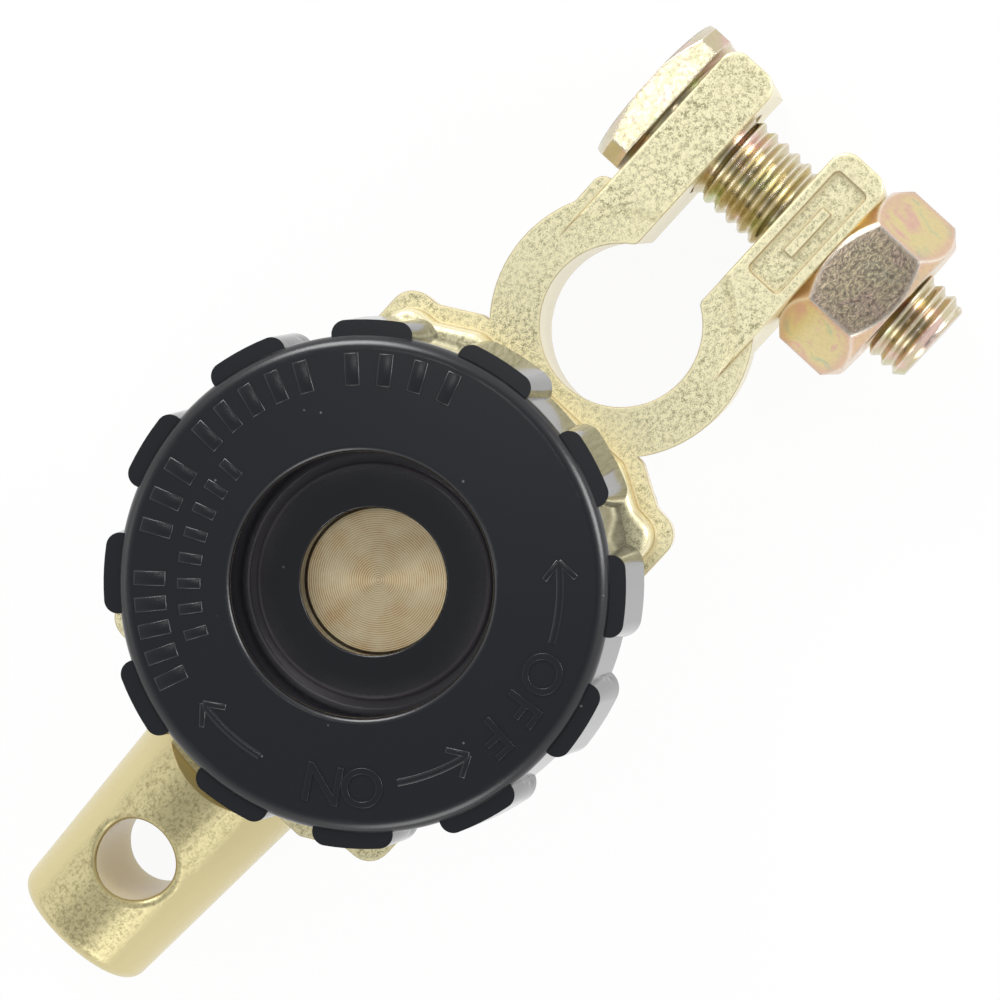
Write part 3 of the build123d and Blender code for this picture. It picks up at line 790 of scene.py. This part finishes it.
    def build(self, plastic: bpy.types.Material) -> bpy.types.Object:
        """Makes all the legends as one piece.

        Args:
            plastic: The knob's own finish.

        Returns:
            The legends, in place.
        """
        bm = bmesh.new()
        for text, middle in self.letters:
            for i, single in enumerate(text):
                self.letter(bm, single, middle - (i - (len(text) - 1) / 2) * self.letter_step_deg)
        for middle, sweep, turn in self.arrows:
            self.arrow(bm, middle, sweep, turn)
        for word in self.words:
            step = (word.last_deg - word.first_deg) / (word.count - 1)
            for i in range(word.count):
                self.bar(bm, word.first_deg + i * step, word.radius, word.length, word.width)
        piece = finish_piece(bm, "knob_legends", "knob_body", plastic)
        log.info("knob legends: %d faces", len(piece.data.polygons))
        return piece


@dataclass
class Studio:
    """Pale floor, soft light all round and the camera of the photograph."""

    camera_mm: tuple[float, float, float] = (16.12, -30.58, 349.88)
    right: tuple[float, float, float] = (0.67217, -0.72792, -0.13535)
    up: tuple[float, float, float] = (0.73221, 0.68065, -0.02433)
    back: tuple[float, float, float] = (0.10984, -0.08275, 0.99050)
    lens: float = 122.5
    lit_point: tuple[float, float, float] = (-0.025, 0.0, 0.015)

    def camera(self) -> None:
        """Adds the camera."""
        data = bpy.data.cameras.new("camera")
        data.sensor_width = 36.0
        data.lens = self.lens
        data.clip_start = 0.01
        shown = bpy.data.objects.new("camera", data)
        turn = Matrix((self.right, self.up, self.back)).transposed().to_4x4()
        shown.matrix_world = Matrix.Translation(Vector(self.camera_mm) * MM) @ turn
        bpy.context.scene.collection.objects.link(shown)
        bpy.context.scene.camera = shown

    def floor(self, height: float) -> None:
        """Adds the floor.

        Args:
            height: Its height in metres.
        """
        bm = bmesh.new()
        bmesh.ops.create_grid(bm, x_segments=1, y_segments=1, size=3.0)
        bmesh.ops.translate(bm, vec=(0, 0, height), verts=bm.verts)
        mesh = bpy.data.meshes.new("floor")
        bm.to_mesh(mesh)
        bm.free()
        mesh.materials.append(PaleFloor("matt_white_paper").build())
        sheet = bpy.data.objects.new("floor", mesh)
        bpy.context.scene.collection.objects.link(sheet)
        sheet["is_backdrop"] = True

    def world(self) -> None:
        """Lights the scene from a wide band of white, darker straight above."""
        world = bpy.data.worlds.new("studio")
        world.use_nodes = True
        tree = world.node_tree
        tree.nodes.clear()
        heading = add_node(tree, "ShaderNodeTexCoord")
        parts = add_node(tree, "ShaderNodeSeparateXYZ", links={0: heading.outputs["Generated"]})
        sky = add_node(tree, "ShaderNodeValToRGB", links={0: parts.outputs["Z"]},
                       stops=[(0.0, "F6F6F6"), (0.5, "F0F0F0"), (0.72, "C6C8CA"), (0.88, "A4A6AA"),
                              (0.985, "74767A")])
        path = add_node(tree, "ShaderNodeLightPath")
        shown = add_node(tree, "ShaderNodeMix", {"data_type": "RGBA"}, {7: (1.0, 1.0, 1.0, 1.0)},
                         {0: path.outputs["Is Camera Ray"], 6: sky.outputs[0]})
        light = add_node(tree, "ShaderNodeBackground", links={"Color": shown.outputs[2]})
        add_node(tree, "ShaderNodeOutputWorld", links={"Surface": light.outputs[0]})
        bpy.context.scene.world = world

    def lamp(self, name: str, place: tuple[float, float, float], size: float, watts: float) -> None:
        """Adds one soft square lamp that faces the object.

        Args:
            name: The lamp's name.
            place: Where it hangs, in metres.
            size: Its side, in metres.
            watts: Its power.
        """
        data = bpy.data.lights.new(name, "AREA")
        data.size = size
        data.energy = watts
        shown = bpy.data.objects.new(name, data)
        shown.location = place
        beam = Vector(self.lit_point) - Vector(place)
        shown.rotation_euler = beam.to_track_quat("-Z", "Y").to_euler()
        bpy.context.scene.collection.objects.link(shown)

    def build(self, height: float) -> None:
        """Sets the stage.

        Args:
            height: Height of the floor in metres.
        """
        self.camera()
        self.floor(height)
        self.world()
        self.lamp("top", (0.35, 0.62, 0.5), 0.4, 4.5)
        self.lamp("right", (0.65, -0.4, 0.42), 0.4, 3.5)
        self.lamp("bottom", (-0.5, -0.52, 0.42), 0.4, 1.6)
        self.lamp("left", (-0.5, 0.55, 0.45), 0.4, 0.3)
        self.lamp("strip", (0.0247, 0.088, 0.6), 0.06, 0.08)
        bpy.context.scene.view_settings.view_transform = "Standard"
        log.info("studio: floor at %.4f m", height)


def main() -> None:
    """Builds and dresses everything in order."""
    logging.basicConfig(level=logging.INFO)
    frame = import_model()
    cad_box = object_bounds()
    casting = PlatedCasting("pale_yellow_plated_casting").build()
    # The post takes the casting's finish with darker colours, as painted shade.
    shaded_post = PlatedCasting("pale_yellow_plated_post_painted_shade", bright="D2C594", top="CCC192", speck="665C32",
                         grit_mm=0.26, speck_share=0.55, top_roughness=0.36, bump=0.65, metallic=0.55).build()
    dress(frame, "clamp_casting", casting)
    dress(frame, "post_casting", shaded_post)
    plastic = MouldedPlastic("moulded_black_plastic").build()
    dress(frame, "knob", plastic)
    brass = TurnedBrass("turned_brass", centre=(KNOB_X * MM, 0.0, 0.0)).build()
    dress(frame, "contact_screw", brass)
    dress(frame, "contact_washer", brass)
    insulation = PlainPart("moulded_insulation").build()
    steel = PlainPart("oiled_spring_steel", body="3C3C3E", second_tone="58585A", metallic=1.0,
                      roughness=0.4).build()
    for node in ("insulator_plate", "centre_sleeve", *(f"screw_bush_{number}" for number in range(1, 5))):
        dress(frame, node, insulation)
    dress(frame, "retaining_clip", steel)
    bolt = ClampBolt()
    piece = bolt.build(frame)
    zinc = piece.data.materials[0]
    for kind in ("plate_screw", "screw_washer"):
        for number in range(1, 5):
            dress(frame, f"{kind}_{number}", zinc)
    # The nut's top facet takes the full painted reflection of the dark sky.
    dress(frame, "clamp_nut", YellowZinc("yellow_zinc_on_nut").build())
    KnobLegends().build(plastic)
    Studio().build(cad_box[0][2] - 0.0001)


if __name__ == "__main__":
    main()
